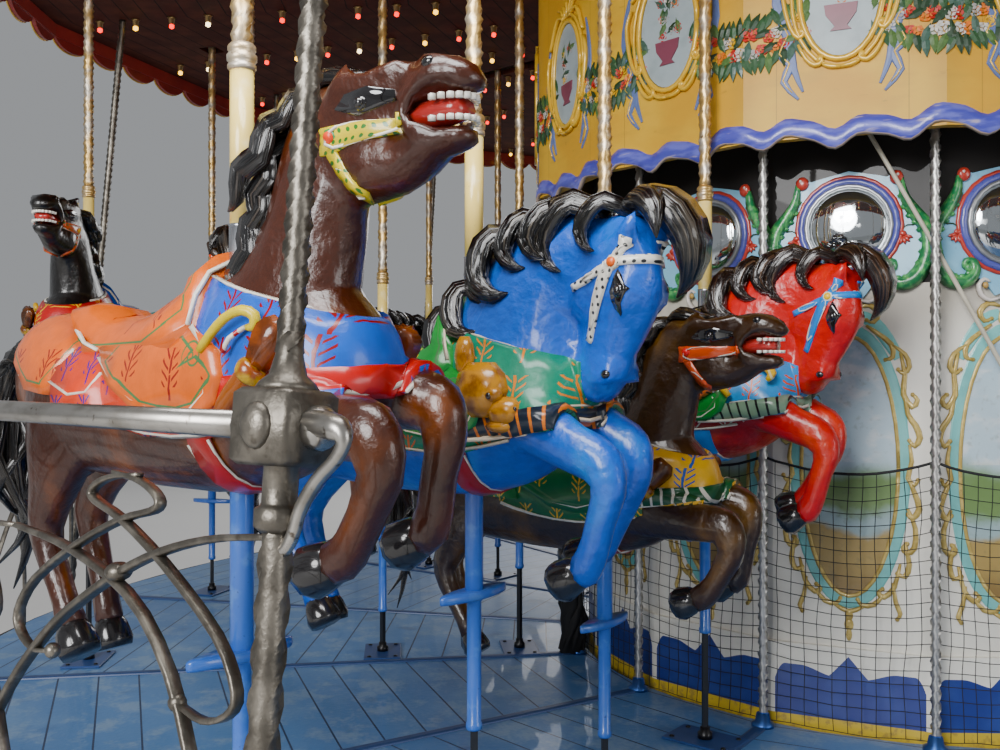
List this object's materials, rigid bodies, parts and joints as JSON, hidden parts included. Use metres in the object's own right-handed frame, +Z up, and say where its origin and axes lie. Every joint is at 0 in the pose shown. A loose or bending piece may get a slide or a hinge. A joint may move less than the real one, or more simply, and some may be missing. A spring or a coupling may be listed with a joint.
{
  "type": "fairground carousel",
  "caption": "Fairground carousel with rows of jumping horses on poles, a hanging platform with railings, a fixed mirrored centre and a conical roof.",
  "frame": {"origin": "centre of the carousel on the ground", "axes": "+Z up, +X through the first rank of four horses"},
  "size_m": [8.72, 8.72, 6.2706],
  "materials": {
    "horse_paint": "glossy painted carving",
    "blue_boards": "worn blue paint on boards",
    "bronze_iron": "worn bronze paint on twisted posts and iron",
    "rod_metal": "worn silver rope-twist rods",
    "centre_paint": "cream panels with gilt scrolls",
    "light_blue": "light blue boards with round mirrors",
    "yellow_paint": "yellow painted board",
    "ceiling_boards": "dark red-brown varnished boards",
    "frame_steel": "grey painted steel",
    "red_boards": "dark red scalloped boards",
    "canvas": "striped canvas tilt",
    "gilt": "gilded"
  },
  "bodies": {
    "centre": {"centre_base": "frame_steel", "centre_panels": "centre_paint", "kick_board": "yellow_paint", "mirror_boards": "light_blue", "mast": "frame_steel"},
    "turning_frame": {"inner_rods_and_net": "rod_metal", "canopy_board": "yellow_paint", "ceiling": "ceiling_boards", "sweeps": "frame_steel", "rounding_boards": "red_boards", "roof": "canvas", "finial": "gilt", "platform_quarter_1": "blue_boards", "platform_quarter_2": "blue_boards", "platform_quarter_3": "blue_boards", "platform_quarter_4": "blue_boards", "posts_and_railing_1": "bronze_iron", "posts_and_railing_2": "bronze_iron", "posts_and_railing_3": "bronze_iron", "posts_and_railing_4": "bronze_iron", "posts_and_railing_5": "bronze_iron", "posts_and_railing_6": "bronze_iron", "posts_and_railing_7": "bronze_iron", "posts_and_railing_8": "bronze_iron"},
    "horses_rising": {"horse_rank2_row1": "horse_paint", "horse_rank2_row2": "horse_paint", "horse_rank4_row1": "horse_paint", "horse_rank4_row2": "horse_paint", "horse_rank6_row1": "horse_paint", "horse_rank6_row2": "horse_paint", "horse_rank8_row1": "horse_paint", "horse_rank8_row2": "horse_paint"},
    "horses_falling": {"horse_rank1_row4": "horse_paint", "horse_rank2_row4": "horse_paint", "horse_rank4_row4": "horse_paint", "horse_rank5_row4": "horse_paint", "horse_rank6_row4": "horse_paint", "horse_rank8_row4": "horse_paint"},
    "horses_at_top": {"horse_rank1_row1": "horse_paint", "horse_rank1_row2": "horse_paint", "horse_rank3_row1": "horse_paint", "horse_rank3_row2": "horse_paint", "horse_rank5_row1": "horse_paint", "horse_rank5_row2": "horse_paint", "horse_rank7_row1": "horse_paint", "horse_rank7_row2": "horse_paint"},
    "horses_at_bottom": {"horse_rank1_row3": "horse_paint", "horse_rank2_row3": "horse_paint", "horse_rank4_row3": "horse_paint", "horse_rank5_row3": "horse_paint", "horse_rank6_row3": "horse_paint", "horse_rank8_row3": "horse_paint", "horse_between_1": "horse_paint", "horse_between_2": "horse_paint"}
  },
  "joints": [
    {"name": "carousel_turn", "type": "hinge", "parent": "centre", "child": "turning_frame", "pos_m": [0, 0, 3.63], "axis": [0, 0, 1], "continuous": true},
    {"name": "rising_horses_slide", "type": "slide", "parent": "turning_frame", "child": "horses_rising", "axis": [0, 0, 1], "range_m": [-0.19, 0.19]},
    {"name": "falling_horses_slide", "type": "slide", "parent": "turning_frame", "child": "horses_falling", "axis": [0, 0, 1], "range_m": [-0.19, 0.19]},
    {"name": "top_horses_slide", "type": "slide", "parent": "turning_frame", "child": "horses_at_top", "axis": [0, 0, 1], "range_m": [-0.38, 0]},
    {"name": "bottom_horses_slide", "type": "slide", "parent": "turning_frame", "child": "horses_at_bottom", "axis": [0, 0, 1], "range_m": [0, 0.38]}
  ],
  "couplings": [
    {"joint": "falling_horses_slide", "follows": "rising_horses_slide", "ratio": -1},
    {"joint": "top_horses_slide", "follows": "bottom_horses_slide", "ratio": -1}
  ]
}
